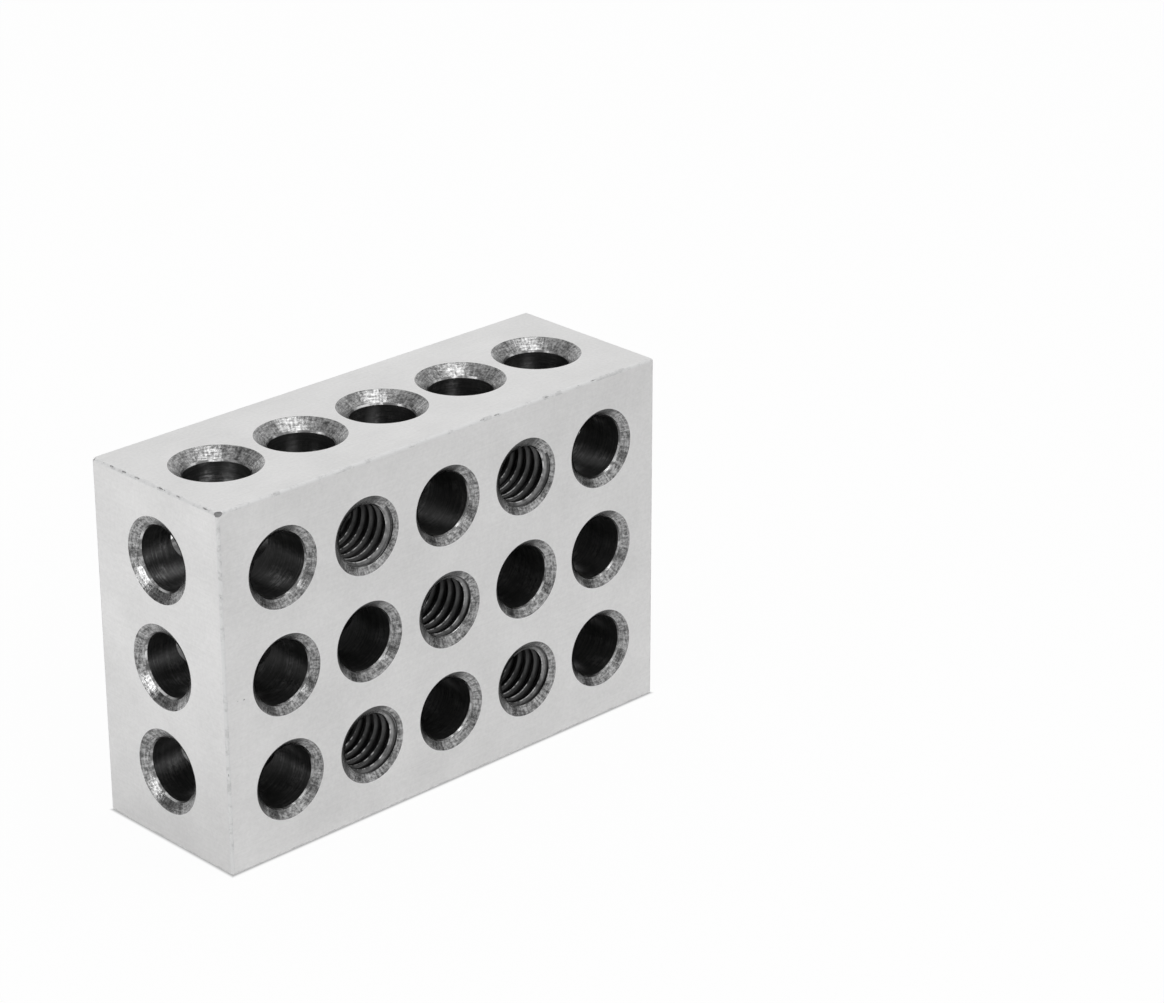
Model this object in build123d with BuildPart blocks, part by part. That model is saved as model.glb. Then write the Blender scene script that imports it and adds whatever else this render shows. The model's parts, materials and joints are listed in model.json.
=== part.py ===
"""Machinist setup block: one piece of hardened steel, ground square, sizes in millimetres.

The block stands on a long narrow side. X runs along its length, Y through its thickness and
Z up its height, and the origin is the middle of the bottom face. Every hole goes right through
on a middle plane of the block, so the three directions of drilling cross at the points of one
lattice of columns and rows.
"""

import os

from build123d import *

# Ground outside of the block
block_length = 76.2
block_thickness = 25.4
block_height = 50.8
edge_break = 0.4

# Lattice of hole centres: how many each way, and how far in the outer ones lie
columns = 5
rows = 3
end_margin = 10.1
side_margin = 10.4
column_pitch = (block_length - 2 * end_margin) / (columns - 1)
row_pitch = (block_height - 2 * side_margin) / (rows - 1)

# Hole diameters: a plain drill, and the drill for a 3/8 inch thread of 16 turns to the inch
plain_bore = 8.8
tap_drill = 7.94

# Countersunk mouths, by the kind of hole; tapped holes and the ends are sunk with a drill point
broad_mouth = 11.0
tapped_mouth = 10.6
narrow_mouth = 12.2
end_mouth = 11.6
countersink_angle = 100.0
drill_point_angle = 118.0


def is_tapped(column, row):
    """Tapped holes take every second lattice point, but none of the end columns."""
    return (column + row) % 2 == 1 and 0 < column < columns - 1


def lattice_point(column, row):
    """Place of a hole on a broad face, from the middle of that face."""
    return (column - (columns - 1) / 2) * column_pitch, (row - (rows - 1) / 2) * row_pitch


lattice = [(column, row) for column in range(columns) for row in range(rows)]
plain_points = [lattice_point(*spot) for spot in lattice if not is_tapped(*spot)]
tapped_points = [lattice_point(*spot) for spot in lattice if is_tapped(*spot)]

with BuildPart() as setup_block:
    with BuildSketch(Plane.XY):
        Rectangle(block_length, block_thickness)
    extrude(amount=block_height)
    broad_faces = setup_block.faces().filter_by(Axis.Y)
    narrow_faces = setup_block.faces().filter_by(Axis.Z)
    end_faces = setup_block.faces().filter_by(Axis.X)
    chamfer(setup_block.edges(), length=edge_break)

    # Plain and tapped holes through the thickness, run right through and countersunk from both broad faces
    for face in broad_faces:
        with Locations(Plane(face, x_dir=(1, 0, 0))):
            with Locations(*plain_points):
                CounterSinkHole(plain_bore / 2, broad_mouth / 2, block_thickness, countersink_angle)
            with Locations(*tapped_points):
                CounterSinkHole(tap_drill / 2, tapped_mouth / 2, block_thickness, drill_point_angle)

    # One plain hole up the height at each column
    for face in narrow_faces:
        with Locations(Plane(face, x_dir=(1, 0, 0))):
            with GridLocations(column_pitch, row_pitch, columns, 1):
                CounterSinkHole(plain_bore / 2, narrow_mouth / 2, block_height, countersink_angle)

    # One plain hole along the length at each row
    for face in end_faces:
        with Locations(Plane(face, x_dir=(0, 0, 1))):
            with GridLocations(row_pitch, column_pitch, rows, 1):
                CounterSinkHole(plain_bore / 2, end_mouth / 2, block_length, drill_point_angle)

setup_block.part.label = "setup_block"

os.makedirs("parts", exist_ok=True)
export_step(setup_block.part, "parts/setup_block.step")
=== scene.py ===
"""Looks of the machinist setup block, in metres: ground hardened steel on a white studio floor.

The block is made here as a shop makes it. A blank with broken edges is drilled and countersunk
in three directions, a tap is run through the threaded holes, and the edges then pick up the
small nicks of bench use. Every size and place of a hole comes from the frame.
"""

import json
import math
import random

import bpy
from mathutils import Matrix, Vector


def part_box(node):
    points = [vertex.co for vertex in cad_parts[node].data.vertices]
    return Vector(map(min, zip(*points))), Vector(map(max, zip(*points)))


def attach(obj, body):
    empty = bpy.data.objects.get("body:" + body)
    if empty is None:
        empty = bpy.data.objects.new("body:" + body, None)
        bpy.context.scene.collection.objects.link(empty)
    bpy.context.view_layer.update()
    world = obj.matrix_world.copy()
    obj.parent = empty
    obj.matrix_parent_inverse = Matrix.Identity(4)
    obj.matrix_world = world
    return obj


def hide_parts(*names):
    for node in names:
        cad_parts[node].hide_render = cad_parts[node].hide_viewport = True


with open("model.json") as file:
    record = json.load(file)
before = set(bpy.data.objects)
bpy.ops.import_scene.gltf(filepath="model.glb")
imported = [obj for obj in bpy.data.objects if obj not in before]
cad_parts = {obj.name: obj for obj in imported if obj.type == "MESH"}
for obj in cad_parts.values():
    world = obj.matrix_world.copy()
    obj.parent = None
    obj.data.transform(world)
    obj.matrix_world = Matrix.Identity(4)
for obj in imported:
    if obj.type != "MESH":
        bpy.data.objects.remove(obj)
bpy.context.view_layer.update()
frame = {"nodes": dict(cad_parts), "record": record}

# A millimetre in metres, and the axes by number
MM = 0.001
X, Y, Z = range(3)

# The block's box, its top corners at the left, and its drilled and tapped holes, as the frame gives them
block_low, block_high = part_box("setup_block")
block_size = block_high - block_low
block_middle = (block_low + block_high) / 2
front_corner = Vector((block_low.x, block_low.y, block_high.z))
back_corner = Vector((block_low.x, block_high.y, block_high.z))
holes = [mount for mount in frame["record"]["mounts"] if "r_mm" in mount["dims"]]

# Points nearer to each other than this touch
TOUCHING = 0.001 * MM

# Edges: the break stoned on each edge, and the angle in degrees up to which faces blend
EDGE_BREAK = 0.4 * MM
EDGE_STEPS = 5
BLEND_ANGLE = 20

# A ground side's normal lies on one axis by at least this much
SQUARE_NORMAL = 0.999

# Lines that a drill leaves are softened to small facets, which run out further on the wall and on the face
RIM_SOFTENING = 0.07 * MM
THROAT_FACET = 0.11 * MM
RUN_OUT = 1.4

# Drills: points round them, and how far they stick out of the block
ROUND_STEPS = 96
OVERSHOOT = 2.0 * MM

# How far a face's normal leans to a drill's axis, at most, on a wall and on a throat
WALL_LEAN = 0.05
THROAT_LEAN = 0.6

# A 3/8 inch thread with 16 turns to the inch: its crests are left by the drill and softened by the tap
THREAD_PITCH = 25.4 / 16 * MM
THREAD_MAJOR = 9.525 / 2 * MM
THREAD_CREST = min(hole["dims"]["r_mm"] for hole in holes) * MM
ROOT_FLAT = THREAD_PITCH / 8
FLANK_SLOPE = math.tan(math.radians(30))
CREST_SOFTENING = 0.09 * MM
TAP_CORE = THREAD_CREST - CREST_SOFTENING
TAP_STEPS = 72
TAP_TURNS = 18

# How far round each thread starts, in degrees, in the record's order
THREAD_STARTS = (113, 91, 215, 170, 79)

# Nicks on edges, in mm: places on the left top edge by Y, on the front top edge by X, and strays on each edge
LEFT_EDGE_NICKS = (8.6, 6.1, 3.4, -1.3, -4.9, -10.2)
FRONT_EDGE_NICKS = (6.4, 8.9, 18.0, 26.6)
STRAY_NICKS = 2

# Where a stray lies on its own stretch of an edge, from 0 to 1
STRAY_PLACES = (0.15, 0.85)

# The spread of a nick's length, width and depth, in mm, and how large each kind is beside that
NICK_SPREADS = ((0.7, 1.4), (0.2, 0.34), (0.02, 0.04))
LEFT_NICK_SCALE = 1.0
FRONT_NICK_SCALE = 0.8
STRAY_NICK_SCALES = (0.25, 0.5)

# Nicks on the left top corners, front and back: middle from the corner, way along, way out, and size, in mm
FRONT_CORNER_NICK = ((0.30, 0.22, -0.22), (1, -0.6, 0), (-1, -1, 1.4), (1.7, 0.8, 0.2))
BACK_CORNER_NICK = ((0.22, -0.30, -0.22), (1, 1, 0), (-1, 1, 1.4), (1.1, 0.6, 0.12))

# Pits on the front face, in mm: place by X and Z, and length
FACE_PITS = ((-36.1, 24.4, 0.20), (-35.1, 24.3, 0.32))
PIT_WIDTH_SHARE = 0.8
PIT_DEPTH = 0.03

# The pebble that presses the nicks
PEBBLE_STEPS = 3
PEBBLE_LUMPS = 0.16
CHANCE_SEED = 3

# The finishes, in the order of the block's material slots
FINISHES = (
    "ground_length", "ground_end", "edge_break", "countersink", "throat", "bore_wall", "thread", "nick",
)
SLOT = {name: number for number, name in enumerate(FINISHES)}

# Wheel lines run along X on the long sides and along Y on the ends
LENGTH_LINES = (60.0, 5200.0, 5200.0)
END_LINES = (5200.0, 60.0, 5200.0)

# Attribute on each hole's walls: the way out from its axis, on two axes, then height or radius in mm
WRAP = "hole_wrap"

# How fast a hole's pattern shifts with its place in the block, per metre
WRAP_SHIFT = (150.0, 150.0, 150.0)

# Studio floor: a plane a hair below the block
FLOOR_SIZE = 8.0
FLOOR_GAP = 0.02 * MM

# Soft boxes: the way to each from the block's middle, its size in metres, and its brightness
BOX_DISTANCE = 0.95
SOFT_BOXES = {
    "soft_box_above": ((0.05, -0.14, 0.93), (0.80, 0.40), 1.5),
    "soft_box_left": ((-0.95, 0.08, 0.19), (0.42, 0.36), 2.8),
    "soft_box_front": ((-0.38, -0.76, 0.53), (0.36, 0.26), 1.5),
}

# Camera: where it stands, how it is turned in degrees, and its lens on a 36 mm sensor
CAMERA_PLACE = (-0.290008, -0.336266, 0.228608)
CAMERA_TURN = (66.630, 0.0, -44.178)
CAMERA_LENS = 111.99
SENSOR_WIDTH = 36.0


# Shader maths

class Graph:
    """Adds nodes to one tree."""

    def __init__(self, tree):
        self.tree = tree

    def plug(self, socket, value):
        """Link a wire to a socket, or set the socket's own value."""
        if isinstance(value, Wire):
            self.tree.links.new(value.socket, socket)
        else:
            socket.default_value = value

    def node(self, kind, settings=None, sockets=None, output=0):
        """Add a node: its settings first, then the values or links of its sockets."""
        made = self.tree.nodes.new(kind)
        for name, value in (settings or {}).items():
            setattr(made, name, value)
        for name, value in (sockets or {}).items():
            self.plug(made.inputs[name], value)
        return Wire(self, made.outputs[output])

    def place(self):
        """Where a point of the piece lies, in metres."""
        return self.node("ShaderNodeTexCoord", output="Object")

    def wrap(self):
        """How a point of a hole's wall stands about the hole's axis."""
        return self.node("ShaderNodeAttribute", {"attribute_name": WRAP}, output="Vector")

    def round_hole(self, factors):
        """The wrap, stretched, and shifted from one hole to the next."""
        shift = {0: self.place(), 1: WRAP_SHIFT, 2: self.stretched(self.wrap(), factors)}
        return self.node("ShaderNodeVectorMath", {"operation": "MULTIPLY_ADD"}, shift)

    def stretched(self, vector, factors):
        """A vector times a factor on each axis."""
        return self.node("ShaderNodeVectorMath", {"operation": "MULTIPLY"}, {0: vector, 1: factors})

    def part(self, vector, axis):
        """One part of a vector, by the letter of its axis."""
        return self.node("ShaderNodeSeparateXYZ", None, {0: vector}, output=axis)

    def toward(self, vector, direction):
        """How far a vector reaches in a direction."""
        sockets = {0: vector, 1: direction}
        return self.node("ShaderNodeVectorMath", {"operation": "DOT_PRODUCT"}, sockets, output="Value")

    def near_broad_face(self, start_mm, end_mm):
        """A smooth rise from 0 to 1 between two depths below the broad faces."""
        face = block_size.y / 2
        from_middle = abs(self.part(self.place(), "Y"))
        return from_middle.step(face - start_mm * MM, face - end_mm * MM)

    def noise(self, vector, scale=1.0, detail=2.0, roughness=0.5):
        """Soft random tones from 0 to 1."""
        sockets = {"Vector": vector, "Scale": scale, "Detail": detail, "Roughness": roughness}
        return self.node("ShaderNodeTexNoise", None, sockets)

    def mixed(self, factor, first, second):
        """A colour between two colours."""
        sockets = {0: factor, 6: (*first, 1.0), 7: (*second, 1.0)}
        return self.node("ShaderNodeMix", {"data_type": "RGBA"}, sockets, output=2)

    def bump(self, height, strength, distance):
        """Fine relief of a depth in metres."""
        sockets = {"Height": height, "Strength": strength, "Distance": distance}
        return self.node("ShaderNodeBump", None, sockets)


class Wire:
    """An output of a node. Arithmetic on it adds Math nodes to the same graph."""

    def __init__(self, graph, socket):
        self.graph = graph
        self.socket = socket

    def math(self, operation, *values):
        """A Math node on wires and numbers."""
        return self.graph.node("ShaderNodeMath", {"operation": operation}, dict(enumerate(values)))

    def __add__(self, other):
        return self.math("ADD", self, other)

    def __radd__(self, other):
        return self.math("ADD", other, self)

    def __sub__(self, other):
        return self.math("SUBTRACT", self, other)

    def __rsub__(self, other):
        return self.math("SUBTRACT", other, self)

    def __mul__(self, other):
        return self.math("MULTIPLY", self, other)

    def __rmul__(self, other):
        return self.math("MULTIPLY", other, self)

    def __truediv__(self, other):
        return self.math("DIVIDE", self, other)

    def __abs__(self):
        return self.math("ABSOLUTE", self)

    def most(self, other):
        """The larger of two values."""
        return self.math("MAXIMUM", self, other)

    def step(self, start, end):
        """A smooth rise from 0 at start to 1 at end."""
        sockets = {"Value": self, "From Min": start, "From Max": end}
        return self.graph.node("ShaderNodeMapRange", {"interpolation_type": "SMOOTHSTEP"}, sockets)


def grey(level, warmth=0.0):
    """A neutral steel colour, a little warmer or cooler than grey."""
    return (level * (1 + warmth), level, level * (1 - warmth))


def finish(name, make):
    """A material whose shader sockets are worked out by make(graph)."""
    material = bpy.data.materials.new(name)
    material.use_nodes = True
    graph = Graph(material.node_tree)
    shader = material.node_tree.nodes["Principled BSDF"]
    for socket, value in make(graph).items():
        graph.plug(shader.inputs[socket], value)
    return material


# Finishes

def ground_finish(name, line_stretch, brightness):
    """Surface ground steel: fine wheel lines one way, over a soft cloudy satin."""
    darker, lighter = grey(brightness - 0.09, 0.004), grey(brightness + 0.09, 0.004)

    def make(graph):
        place = graph.place()
        lines = graph.noise(graph.stretched(place, line_stretch), detail=3.0, roughness=0.6)
        clouds = graph.noise(place, 130.0, detail=3.0)
        grain = graph.noise(place, 2400.0, detail=2.0)
        tone = 0.5 + (lines - 0.5) * 0.5 + (clouds - 0.5) * 0.9 + (grain - 0.5) * 0.7
        return {
            "Base Color": graph.mixed(tone, darker, lighter),
            "Metallic": 1.0,
            "Roughness": 0.38 + (clouds - 0.5) * 0.10 + (lines - 0.5) * 0.08,
            "Normal": graph.bump(lines + grain * 0.4, 0.25, 0.02 * MM),
        }
    return finish(name, make)


def edge_break_finish():
    """The broken edges, stoned by hand: uneven, with dull dashes where the stone skipped."""
    def make(graph):
        place = graph.place()
        dashes = graph.noise(place, 620.0, detail=3.0, roughness=0.6)
        specks = graph.noise(place, 2600.0)
        worn = (dashes * 0.75 + specks * 0.25).step(0.36, 0.52)
        return {
            "Base Color": graph.mixed(worn, grey(0.76), grey(0.86)),
            "Metallic": 1.0,
            "Roughness": 0.88 - worn * 0.05,
            "Normal": graph.bump(dashes + specks * 0.3, 0.12, 0.03 * MM),
        }
    return finish("edge_break", make)


def countersink_finish():
    """Countersinks: turning streaks, torn specks, chatter, and painted shade up and left on broad faces."""
    def make(graph):
        rightward, upward = [graph.part(graph.wrap(), axis) for axis in "XY"]
        up_and_left = upward * 0.64 - rightward * 0.77
        # Painted shade: on the broad faces, the sides of the countersinks turned up and to the left are
        # darkened
        painted_shade_up_left = up_and_left.step(-0.05, 0.42) * graph.near_broad_face(1.6, 1.2)
        streaks = graph.noise(graph.round_hole((4.0, 4.0, 7.0)), detail=3.0, roughness=0.6)
        chatter = graph.noise(graph.round_hole((14.0, 14.0, 0.6)), detail=2.0)
        specks = graph.noise(graph.place(), 3400.0, detail=3.0, roughness=0.7)
        torn = streaks * 0.36 + specks * 0.36 + chatter * 0.28
        # Random streaks, specks and chatter give the tone, times the painted shade
        tone_and_painted_shade = (0.08 + torn.step(0.37, 0.65) * 0.92) * (1.0 - painted_shade_up_left * 0.85)
        return {
            "Base Color": graph.mixed(tone_and_painted_shade, grey(0.05), grey(0.56)),
            "Metallic": 1.0,
            "Roughness": 0.09 + specks * 0.14,
            "Normal": graph.bump(torn, 0.6, 0.1 * MM),
        }
    return finish("countersink", make)


def throat_finish():
    """The line between countersink and bore, burnished bright in places."""
    def make(graph):
        patches = graph.noise(graph.round_hole((2.5, 2.5, 0.5)), detail=3.0, roughness=0.6)
        return {
            "Base Color": graph.mixed(patches.step(0.42, 0.60), grey(0.22), grey(0.78)),
            "Metallic": 1.0,
            "Roughness": 0.30,
        }
    return finish("throat", make)


def bore_wall_finish():
    """Drilled walls under the dark skin of heat treatment, with drill rings rubbed bright in places."""
    def make(graph):
        rings = graph.noise(graph.round_hole((0.8, 0.8, 3.6)), detail=4.0, roughness=0.7)
        patches = graph.noise(graph.round_hole((1.5, 1.5, 0.22)), detail=2.0)
        specks = graph.noise(graph.place(), 2200.0)
        rubbed = (rings * 0.7 + specks * 0.3).step(0.40, 0.70) * (0.25 + patches.step(0.45, 0.68) * 0.75)
        return {
            "Base Color": graph.mixed(rubbed, grey(0.10), grey(0.37)),
            "Metallic": 0.9,
            "Roughness": 0.36 - rubbed * 0.12,
            "Normal": graph.bump(rings + specks * 0.3, 0.3, 0.04 * MM),
        }
    return finish("bore_wall", make)


def thread_finish():
    """Threads: painted light on flanks, mouth and crest glints; painted shade in roots, crest flats, deep
    turns and below.
    """
    crest_mm, root_mm = THREAD_CREST / MM, THREAD_MAJOR / MM

    def make(graph):
        upward, radius = [graph.part(graph.wrap(), axis) for axis in "YZ"]
        depth = (radius - crest_mm) / (root_mm - crest_mm)
        mouth = graph.near_broad_face(1.6, 0.4)
        first_turn = graph.near_broad_face(2.6, 1.0)
        scuffs = graph.noise(graph.round_hole((5.0, 5.0, 2.0)), detail=3.0, roughness=0.65)
        marks = graph.noise(graph.round_hole((1.0, 1.0, 13.0)), detail=2.0)
        specks = graph.noise(graph.place(), 3000.0)
        # Painted shade on the lower side of each hole, less at the mouth; crests there get painted glints
        painted_shade_below = (1.0 - upward.step(-1.0, -0.1)) * (1.0 - mouth * 0.6)
        # Random scuffs for tone, times painted shade deeper into the hole and on the lower side
        flank_tone_and_painted_shade = 0.37 + (scuffs - 0.5) * (0.6 + painted_shade_below * 0.9)
        flank_tone_and_painted_shade = flank_tone_and_painted_shade * (0.20 + first_turn * 0.80) * (1.0 - painted_shade_below * 0.65)
        # Painted light on the flanks; roots and crest flats stay dark as painted shade
        flank = depth.step(0.0, 0.08) * (1.0 - depth.step(0.35, 0.75)) * flank_tone_and_painted_shade
        # Tap marks, painted lighter near the mouth
        streak = marks.step(0.52, 0.70) * (0.12 + mouth * 0.3)
        crest = depth.step(0.0, 0.03) * (1.0 - depth.step(0.09, 0.18)) * scuffs.step(0.40, 0.60)
        # Painted glints on the crests, below and in the first turn
        glint = crest * (painted_shade_below * 0.55).most(first_turn * 0.9)
        # Painted sparkle near the mouth
        bright = flank.most(streak).most(glint) + mouth * (specks - 0.3) * 0.2
        return {
            "Base Color": graph.mixed(bright, grey(0.045), grey(0.70)),
            "Metallic": 0.95,
            "Roughness": 0.40 - bright * 0.20,
            "Normal": graph.bump(scuffs + specks * 0.5, 0.4, 0.06 * MM),
        }
    return finish("thread", make)


def nick_finish():
    """Nicks: torn steel, dull, and darker in the deep one at the front corner."""
    def make(graph):
        place = graph.place()
        specks = graph.noise(place, 4000.0)
        corner = {0: place, 1: front_corner}
        apart = graph.node("ShaderNodeVectorMath", {"operation": "DISTANCE"}, corner, output="Value")
        # Random light specks, darker within about 1 to 2 mm of the front corner
        light_specks_away_from_corner = specks.step(0.30, 0.65) * (0.15 + apart.step(1.0 * MM, 2.2 * MM) * 0.85)
        return {
            "Base Color": graph.mixed(light_specks_away_from_corner, grey(0.24), grey(0.66)),
            "Metallic": 0.9,
            "Roughness": 0.6,
            "Normal": graph.bump(specks, 0.4, 0.05 * MM),
        }
    return finish("nick", make)


def block_finishes():
    """The block's materials, in the order of its slots."""
    return [
        ground_finish("ground_length", LENGTH_LINES, 0.78),
        # The end faces' copy is painted a little lighter than the long sides, as painted light
        ground_finish("ground_end", END_LINES, 0.81),
        edge_break_finish(),
        countersink_finish(),
        throat_finish(),
        bore_wall_finish(),
        thread_finish(),
        nick_finish(),
    ]


# Modelling helpers

def fresh():
    """Leave edit mode and deselect everything, so that the next operator meets only the new piece."""
    if bpy.context.mode != "OBJECT":
        bpy.ops.object.mode_set(mode="OBJECT")
    bpy.ops.object.select_all(action="DESELECT")


def pick(piece):
    """Select one piece alone."""
    fresh()
    piece.select_set(True)
    bpy.context.view_layer.objects.active = piece


def editing(piece):
    """Open a piece in edit mode with all of it selected."""
    pick(piece)
    bpy.ops.object.mode_set(mode="EDIT")
    bpy.ops.mesh.select_all(action="SELECT")


def apply_place(piece):
    """Put a piece's place and size into its mesh."""
    pick(piece)
    bpy.ops.object.transform_apply(location=True, rotation=True, scale=True)


def wear(piece, materials):
    """Give a piece the block's material slots."""
    for material in materials:
        piece.data.materials.append(material)


def discard(tool):
    """Put a tool away for good."""
    mesh = tool.data
    bpy.data.objects.remove(tool)
    bpy.data.meshes.remove(mesh)


# The blank

def ground_blank(materials):
    """The squared blank, with each edge broken to a small round."""
    fresh()
    bpy.ops.mesh.primitive_cube_add(size=1.0, location=block_middle)
    blank = bpy.context.object
    blank.name = "steel_block"
    blank.scale = block_size
    apply_place(blank)
    wear(blank, materials)
    editing(blank)
    bpy.ops.mesh.bevel(offset=EDGE_BREAK, segments=EDGE_STEPS)
    fresh()
    for face in blank.data.polygons:
        square = [abs(part) > SQUARE_NORMAL for part in face.normal]
        face.material_index = SLOT["ground_length"] if any(square) else SLOT["edge_break"]
        if square[X]:
            face.material_index = SLOT["ground_end"]
    blank.data.attributes.new(WRAP, "FLOAT_VECTOR", "CORNER")
    return blank


# Drills and tap

def hole_reach(hole):
    """How far a hole runs through the block."""
    return sum(abs(part) * size for part, size in zip(hole["axis"], block_size))


def mouth_radius(hole):
    """Radius of a hole's rim: the solid's corner on the opened face that lies nearest to the axis."""
    axis = Vector(hole["axis"])
    centre = Vector(hole["pos_m"])
    flush = hole_reach(hole) / 2 - TOUCHING
    arms = [corner.co - centre for corner in frame["nodes"]["setup_block"].data.vertices]
    return min((arm - axis * arm.dot(axis)).length for arm in arms if arm.dot(axis) > flush)


def drill_rings(bore, mouth, sink, half_reach):
    """Radius and height of each ring of a drill, from below the block to above it."""
    throat = half_reach - sink
    spread = (mouth - bore) / sink
    rim = mouth + RUN_OUT * RIM_SOFTENING
    upper = [
        (bore, throat - RUN_OUT * THROAT_FACET),
        (bore + THROAT_FACET * spread, throat + THROAT_FACET),
        (mouth - RIM_SOFTENING * spread, half_reach - RIM_SOFTENING),
        (rim, half_reach),
        (rim + OVERSHOOT, half_reach + OVERSHOOT),
    ]
    return [(radius, -height) for radius, height in reversed(upper)] + upper


def countersunk_drill(hole, materials):
    """A drill that countersinks both faces, standing on Z about the origin."""
    reach = hole_reach(hole)
    sink = (reach - hole["dims"]["length_mm"] * MM) / 2
    rings = drill_rings(hole["dims"]["r_mm"] * MM, mouth_radius(hole), sink, reach / 2)
    wall = "thread" if hole["kind"] == "threaded_hole" else "bore_wall"
    radius, height = rings[0]
    fresh()
    bpy.ops.mesh.primitive_circle_add(vertices=ROUND_STEPS, radius=radius, fill_type="NGON")
    drill = bpy.context.object
    wear(drill, materials)
    editing(drill)
    bpy.ops.transform.translate(value=(0, 0, height))
    for (radius, height), (next_radius, next_height) in zip(rings, rings[1:]):
        bpy.ops.mesh.extrude_region_move(TRANSFORM_OT_translate={"value": (0, 0, next_height - height)})
        growth = next_radius / radius
        bpy.ops.transform.resize(value=(growth, growth, 1), center_override=(0, 0, next_height))
    bpy.ops.mesh.select_all(action="SELECT")
    bpy.ops.mesh.normals_make_consistent(inside=False)
    fresh()
    for face in drill.data.polygons:
        lean = abs(face.normal.z)
        sunk = "throat" if lean < THROAT_LEAN else "countersink"
        face.material_index = SLOT[wall if lean < WALL_LEAN else sunk]
    return drill


def tooth_space():
    """Outline of one tooth space of the tap over one pitch, as radius and height from its lower end."""
    half_root = ROOT_FLAT / 2
    shoulder = THREAD_CREST + CREST_SOFTENING
    half_shoulder = half_root + (THREAD_MAJOR - shoulder) * FLANK_SLOPE
    half_mouth = half_shoulder + (shoulder - TAP_CORE)
    middle = THREAD_PITCH / 2
    rise = [
        (TAP_CORE, -middle),
        (TAP_CORE, -half_mouth),
        (shoulder, -half_shoulder),
        (THREAD_MAJOR, -half_root),
    ]
    outline = rise + [(radius, -height) for radius, height in reversed(rise)]
    return [(radius, middle + height) for radius, height in outline]


def screw_tap(materials):
    """A tap standing on Z about the origin: one tooth space drawn as a line and screwed upwards."""
    outline = tooth_space()
    start = -(TAP_TURNS + 1) * (THREAD_PITCH / 2)
    first_radius, first_height = outline[0]
    fresh()
    bpy.ops.mesh.primitive_plane_add(size=MM)
    tap = bpy.context.object
    wear(tap, materials)
    editing(tap)
    bpy.ops.mesh.merge(type="CENTER")
    bpy.ops.transform.translate(value=(first_radius, 0, start + first_height))
    for (radius, height), (next_radius, next_height) in zip(outline, outline[1:]):
        step = (next_radius - radius, 0, next_height - height)
        bpy.ops.mesh.extrude_vertices_move(TRANSFORM_OT_translate={"value": step})
    fresh()
    bpy.ops.object.modifier_add(type="SCREW")
    screw = tap.modifiers[-1]
    screw.axis = "Z"
    screw.screw_offset = THREAD_PITCH
    screw.iterations = TAP_TURNS
    screw.steps = TAP_STEPS
    screw.render_steps = TAP_STEPS
    bpy.ops.object.modifier_apply(modifier=screw.name)
    editing(tap)
    bpy.ops.mesh.remove_doubles(threshold=TOUCHING)
    bpy.ops.mesh.fill_holes(sides=0)
    bpy.ops.mesh.normals_make_consistent(inside=False)
    fresh()
    for face in tap.data.polygons:
        face.material_index = SLOT["thread"]
    return tap


def line_up(tool, hole, turn):
    """Stand a tool on a hole's axis, turned about it."""
    along = Vector(hole["axis"]).to_track_quat("Z", "Y").to_matrix().to_4x4()
    tool.matrix_world = Matrix.Translation(Vector(hole["pos_m"])) @ along @ Matrix.Rotation(turn, 4, "Z")
    bpy.context.view_layer.update()


def wrap_round(tool, hole):
    """Note on a tool's face corners how they stand about a hole: the way out, and height or thread radius."""
    mesh = tool.data
    attribute = mesh.attributes.get(WRAP) or mesh.attributes.new(WRAP, "FLOAT_VECTOR", "CORNER")
    across = [axis for axis in (X, Y, Z) if not hole["axis"][axis]]
    turn = tool.matrix_world.to_3x3()
    for face in mesh.polygons:
        for corner in face.loop_indices:
            x, y, z = mesh.vertices[mesh.loops[corner].vertex_index].co
            radius = math.hypot(x, y)
            out = turn @ Vector((x / radius, y / radius, 0))
            third = radius if face.material_index == SLOT["thread"] else z
            attribute.data[corner].vector = (out[across[0]], out[across[1]], third / MM)


def cut(block, tool):
    """Take a tool's shape out of the block."""
    pick(block)
    bpy.ops.object.modifier_add(type="BOOLEAN")
    boolean = block.modifiers[-1]
    boolean.operation = "DIFFERENCE"
    boolean.solver = "MANIFOLD"
    boolean.object = tool
    boolean.material_mode = "INDEX"
    bpy.ops.object.modifier_apply(modifier=boolean.name)


def hole_family(hole):
    """Holes that one drill makes: same direction, same bore, same length between countersinks."""
    return (tuple(abs(part) for part in hole["axis"]), hole["dims"]["r_mm"], hole["dims"]["length_mm"])


def drill_all(block, materials, chance):
    """Run each drill through all the holes of its family."""
    for family in sorted({hole_family(hole) for hole in holes}):
        members = [hole for hole in holes if hole_family(hole) == family]
        drill = countersunk_drill(members[0], materials)
        for hole in members:
            line_up(drill, hole, chance.uniform(0, math.tau))
            wrap_round(drill, hole)
            cut(block, drill)
        discard(drill)


def tap_all(block, materials):
    """Run the tap through each tapped hole from its own start."""
    tap = screw_tap(materials)
    tapped = [hole for hole in holes if hole["kind"] == "threaded_hole"]
    for hole, start in zip(tapped, THREAD_STARTS):
        line_up(tap, hole, math.radians(start))
        wrap_round(tap, hole)
        cut(block, tap)
    discard(tap)


# Nicks

def pebble_tool(materials, chance):
    """A lumpy pebble of unit radius that leaves the shape of a nick."""
    fresh()
    bpy.ops.mesh.primitive_ico_sphere_add(subdivisions=PEBBLE_STEPS, radius=1.0)
    pebble = bpy.context.object
    wear(pebble, materials)
    editing(pebble)
    bpy.ops.transform.vertex_random(offset=PEBBLE_LUMPS, seed=chance.randrange(1000))
    fresh()
    for face in pebble.data.polygons:
        face.material_index = SLOT["nick"]
    pebble.data.attributes.new(WRAP, "FLOAT_VECTOR", "CORNER")
    return pebble


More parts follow.
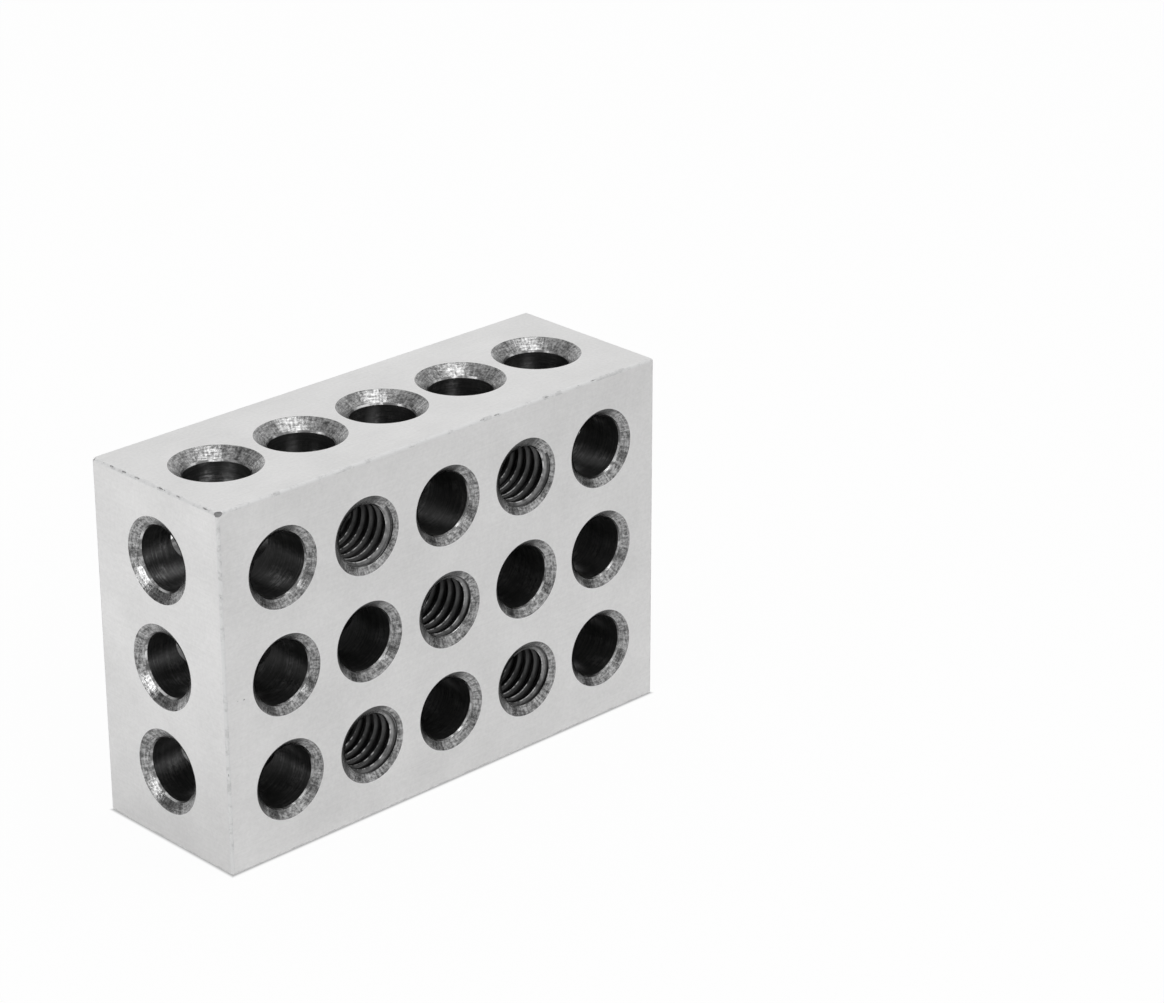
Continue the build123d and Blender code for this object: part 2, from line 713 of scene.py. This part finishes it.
def press(pebble, place, along, out, size_mm):
    """A copy of the pebble pressed in at a place: its length, its width and its depth below the surface."""
    along = Vector(along).normalized()
    out = Vector(out).normalized()
    turned = Matrix((along, out.cross(along), out)).transposed().to_4x4()
    length, width, depth = [part * MM for part in size_mm]
    pick(pebble)
    bpy.ops.object.duplicate()
    copy = bpy.context.object
    flattened = Matrix.Diagonal((length / 2, width / 2, depth, 1))
    copy.matrix_world = Matrix.Translation(place) @ turned @ flattened
    apply_place(copy)
    return copy


def edge_point(first, second, along):
    """A point on a broken edge: signs give the edge's side on two axes, along is its place on the third."""
    inset = EDGE_BREAK * (1 - math.sqrt(0.5))
    place = block_middle.copy()
    out = Vector((0, 0, 0))
    for axis, sign in (first, second):
        place[axis] += sign * (block_size[axis] / 2 - inset)
        out[axis] = sign
    free = X + Y + Z - first[0] - second[0]
    place[free] = along
    return place, Vector([axis == free for axis in (X, Y, Z)]), out


def edge_nick(pebble, chance, edge, along, scale):
    """A nick on a broken edge, of a size drawn by chance."""
    size_mm = [scale * chance.uniform(*spread) for spread in NICK_SPREADS]
    return press(pebble, *edge_point(*edge, along), size_mm)


def corner_nick(pebble, corner, shift_mm, along, out, size_mm):
    """A nick on a corner of the block."""
    return press(pebble, corner + Vector(shift_mm) * MM, along, out, size_mm)


def face_pit(pebble, x_mm, z_mm, length_mm):
    """A shallow pit on the front face."""
    place = Vector((x_mm * MM, block_low.y, z_mm * MM))
    return press(pebble, place, (1, 0, 0), (0, -1, 0), (length_mm, length_mm * PIT_WIDTH_SHARE, PIT_DEPTH))


def known_nicks(pebble, chance):
    """The nicks that show most: on the left and front top edges, the left top corners and the front face."""
    left_top, front_top = ((X, -1), (Z, 1)), ((Y, -1), (Z, 1))
    nicks = [edge_nick(pebble, chance, left_top, y_mm * MM, LEFT_NICK_SCALE) for y_mm in LEFT_EDGE_NICKS]
    nicks += [edge_nick(pebble, chance, front_top, x_mm * MM, FRONT_NICK_SCALE) for x_mm in FRONT_EDGE_NICKS]
    nicks.append(corner_nick(pebble, front_corner, *FRONT_CORNER_NICK))
    nicks.append(corner_nick(pebble, back_corner, *BACK_CORNER_NICK))
    return nicks + [face_pit(pebble, *pit) for pit in FACE_PITS]


def stray_nicks(pebble, chance):
    """Small nicks strewn on all twelve edges."""
    nicks = []
    for first, second, free in ((X, Y, Z), (X, Z, Y), (Y, Z, X)):
        span = block_size[free] / STRAY_NICKS
        for first_sign in (-1, 1):
            for second_sign in (-1, 1):
                edge = (first, first_sign), (second, second_sign)
                for stray in range(STRAY_NICKS):
                    along = block_low[free] + span * (stray + chance.uniform(*STRAY_PLACES))
                    nicks.append(edge_nick(pebble, chance, edge, along, chance.uniform(*STRAY_NICK_SCALES)))
    return nicks


def nick_all(block, materials, chance):
    """The nicks of bench use, cut as one tool."""
    pebble = pebble_tool(materials, chance)
    nicks = known_nicks(pebble, chance) + stray_nicks(pebble, chance)
    fresh()
    for nick in nicks:
        nick.select_set(True)
    bpy.context.view_layer.objects.active = nicks[0]
    bpy.ops.object.join()
    cut(block, nicks[0])
    discard(nicks[0])
    discard(pebble)


# The block

def make_block():
    """The finished block as one closed piece."""
    chance = random.Random(CHANCE_SEED)
    materials = block_finishes()
    block = ground_blank(materials)
    drill_all(block, materials, chance)
    tap_all(block, materials)
    nick_all(block, materials, chance)
    pick(block)
    bpy.ops.object.shade_smooth_by_angle(angle=math.radians(BLEND_ANGLE))
    for face in block.data.polygons:
        if face.material_index in (SLOT["ground_length"], SLOT["ground_end"]):
            face.use_smooth = False
    return block


# Studio

def light_rays(graph):
    """Wires for whether a ray is the camera's, and whether it is that or one off gloss or through glass."""
    kinds = ("Camera", "Glossy", "Transmission")
    seen, glossy, through = [graph.node("ShaderNodeLightPath", output=f"Is {kind} Ray") for kind in kinds]
    return seen, seen.most(glossy).most(through)


def floor_brightness(graph, seen):
    """White to the camera but for a painted shadow round the block's foot. In the steel, painted uneven light
    and shade.
    """
    place = graph.place()
    past_left = graph.toward(place, (-1.0, 0.0, 0.0)) - block_size.x / 2
    past_end = abs(graph.toward(place, (1.0, 0.0, 0.0))) - block_size.x / 2
    past_side = abs(graph.toward(place, (0.0, 1.0, 0.0))) - block_size.y / 2
    # Painted shadow: the glow darkens in a thin line round the block's foot
    painted_foot_shadow = 1.0 - past_end.most(past_side).step(-0.3 * MM, 0.4 * MM)
    # Painted shade on the floor just left of the block's end, seen in the steel
    end_shade = past_left.step(-4 * MM, 0.0) * (1.0 - past_left.step(0.0, 30 * MM))
    # Painted light: the glow is lighter behind on the left
    painted_light_behind_left = graph.toward(place, (-0.65, 0.76, 0.0)).step(-160 * MM, 120 * MM)
    # Painted shade on the floor to the right of the block, seen in the steel
    painted_shade_right = graph.toward(place, (0.90, 0.43, 0.0)).step(60 * MM, 140 * MM)
    level = (0.71 + painted_light_behind_left * 0.29) * (1.0 - end_shade * 0.2) * (1.0 - painted_shade_right * 0.35)
    return seen.most(level) * (1.0 - painted_foot_shadow * 0.6)


def studio_floor():
    """A white floor: it glows nearly white to the camera and in the steel, with painted light and shade, and
    takes a soft shadow.
    """
    fresh()
    bpy.ops.mesh.primitive_plane_add(size=FLOOR_SIZE, location=(0, 0, block_low.z - FLOOR_GAP))
    floor = bpy.context.object
    floor.name = "studio_floor"
    material = bpy.data.materials.new("studio_floor")
    material.use_nodes = True
    graph = Graph(material.node_tree)
    seen, shown = light_rays(graph)
    paper = graph.node("ShaderNodeBsdfDiffuse", None, {"Color": (*grey(0.92), 1.0)})
    glow = graph.node("ShaderNodeEmission", None, {"Color": floor_brightness(graph, seen)})
    # The glow is nearly all that the camera sees, and less than half of what shows in the steel
    share = shown * 0.40 + seen * 0.55
    mix = graph.node("ShaderNodeMixShader", None, {0: share, 1: paper, 2: glow})
    graph.plug(material.node_tree.nodes["Material Output"].inputs["Surface"], mix)
    floor.data.materials.append(material)


def studio_world():
    """A dim room, lighter overhead and in front, with a white backdrop behind and dark walls at the sides."""
    world = bpy.data.worlds.new("studio")
    bpy.context.scene.world = world
    world.use_nodes = True
    graph = Graph(world.node_tree)
    seen, shown = light_rays(graph)
    way = graph.node("ShaderNodeTexCoord", output="Generated")

    def about(direction, outer, inner):
        """1 within the inner angle of a direction, 0 past the outer one, in degrees."""
        reach = graph.toward(way, Vector(direction).normalized())
        return reach.step(math.cos(math.radians(outer)), math.cos(math.radians(inner)))

    ceiling = 0.34 + about((0.0, 0.0, 1.0), 82, 40) * 0.46
    backdrop = about((0.55, 0.73, 0.39), 68, 30) * (0.35 + shown * 0.52)
    bright_front = about((0.35, -0.80, 0.48), 50, 18) * 0.88
    dark_left = about((-0.45, 0.70, 0.52), 39, 33)
    dark_right = about((1.0, -0.05, -0.05), 38, 15)
    level = ceiling.most(backdrop).most(bright_front) * (1.0 - dark_left * 0.35) * (1.0 - dark_right * 0.6)
    background = world.node_tree.nodes["Background"]
    background.inputs["Color"].default_value = (1.0, 1.0, 1.0, 1.0)
    graph.plug(background.inputs["Strength"], level.most(seen))


def soft_box(name, direction, size, radiance):
    """An area light of even brightness that faces the block."""
    lamp = bpy.data.lights.new(name, "AREA")
    lamp.shape = "RECTANGLE"
    lamp.size, lamp.size_y = size
    lamp.energy = radiance * math.pi * size[0] * size[1]
    box = bpy.data.objects.new(name, lamp)
    bpy.context.scene.collection.objects.link(box)
    away = Vector(direction).normalized()
    box.location = block_middle + away * BOX_DISTANCE
    box.rotation_euler = away.to_track_quat("Z", "Y").to_euler()


def studio_camera():
    """The camera, a long lens above the front left corner."""
    lens = bpy.data.cameras.new("camera")
    lens.lens = CAMERA_LENS
    lens.sensor_width = SENSOR_WIDTH
    camera = bpy.data.objects.new("camera", lens)
    bpy.context.scene.collection.objects.link(camera)
    camera.location = CAMERA_PLACE
    camera.rotation_euler = [math.radians(turn) for turn in CAMERA_TURN]
    bpy.context.scene.camera = camera


block = make_block()
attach(block, "root")
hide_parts("setup_block")
studio_floor()
studio_world()
for box_name, (direction, size, radiance) in SOFT_BOXES.items():
    soft_box(box_name, direction, size, radiance)
studio_camera()
bpy.context.scene.view_settings.view_transform = "Standard"
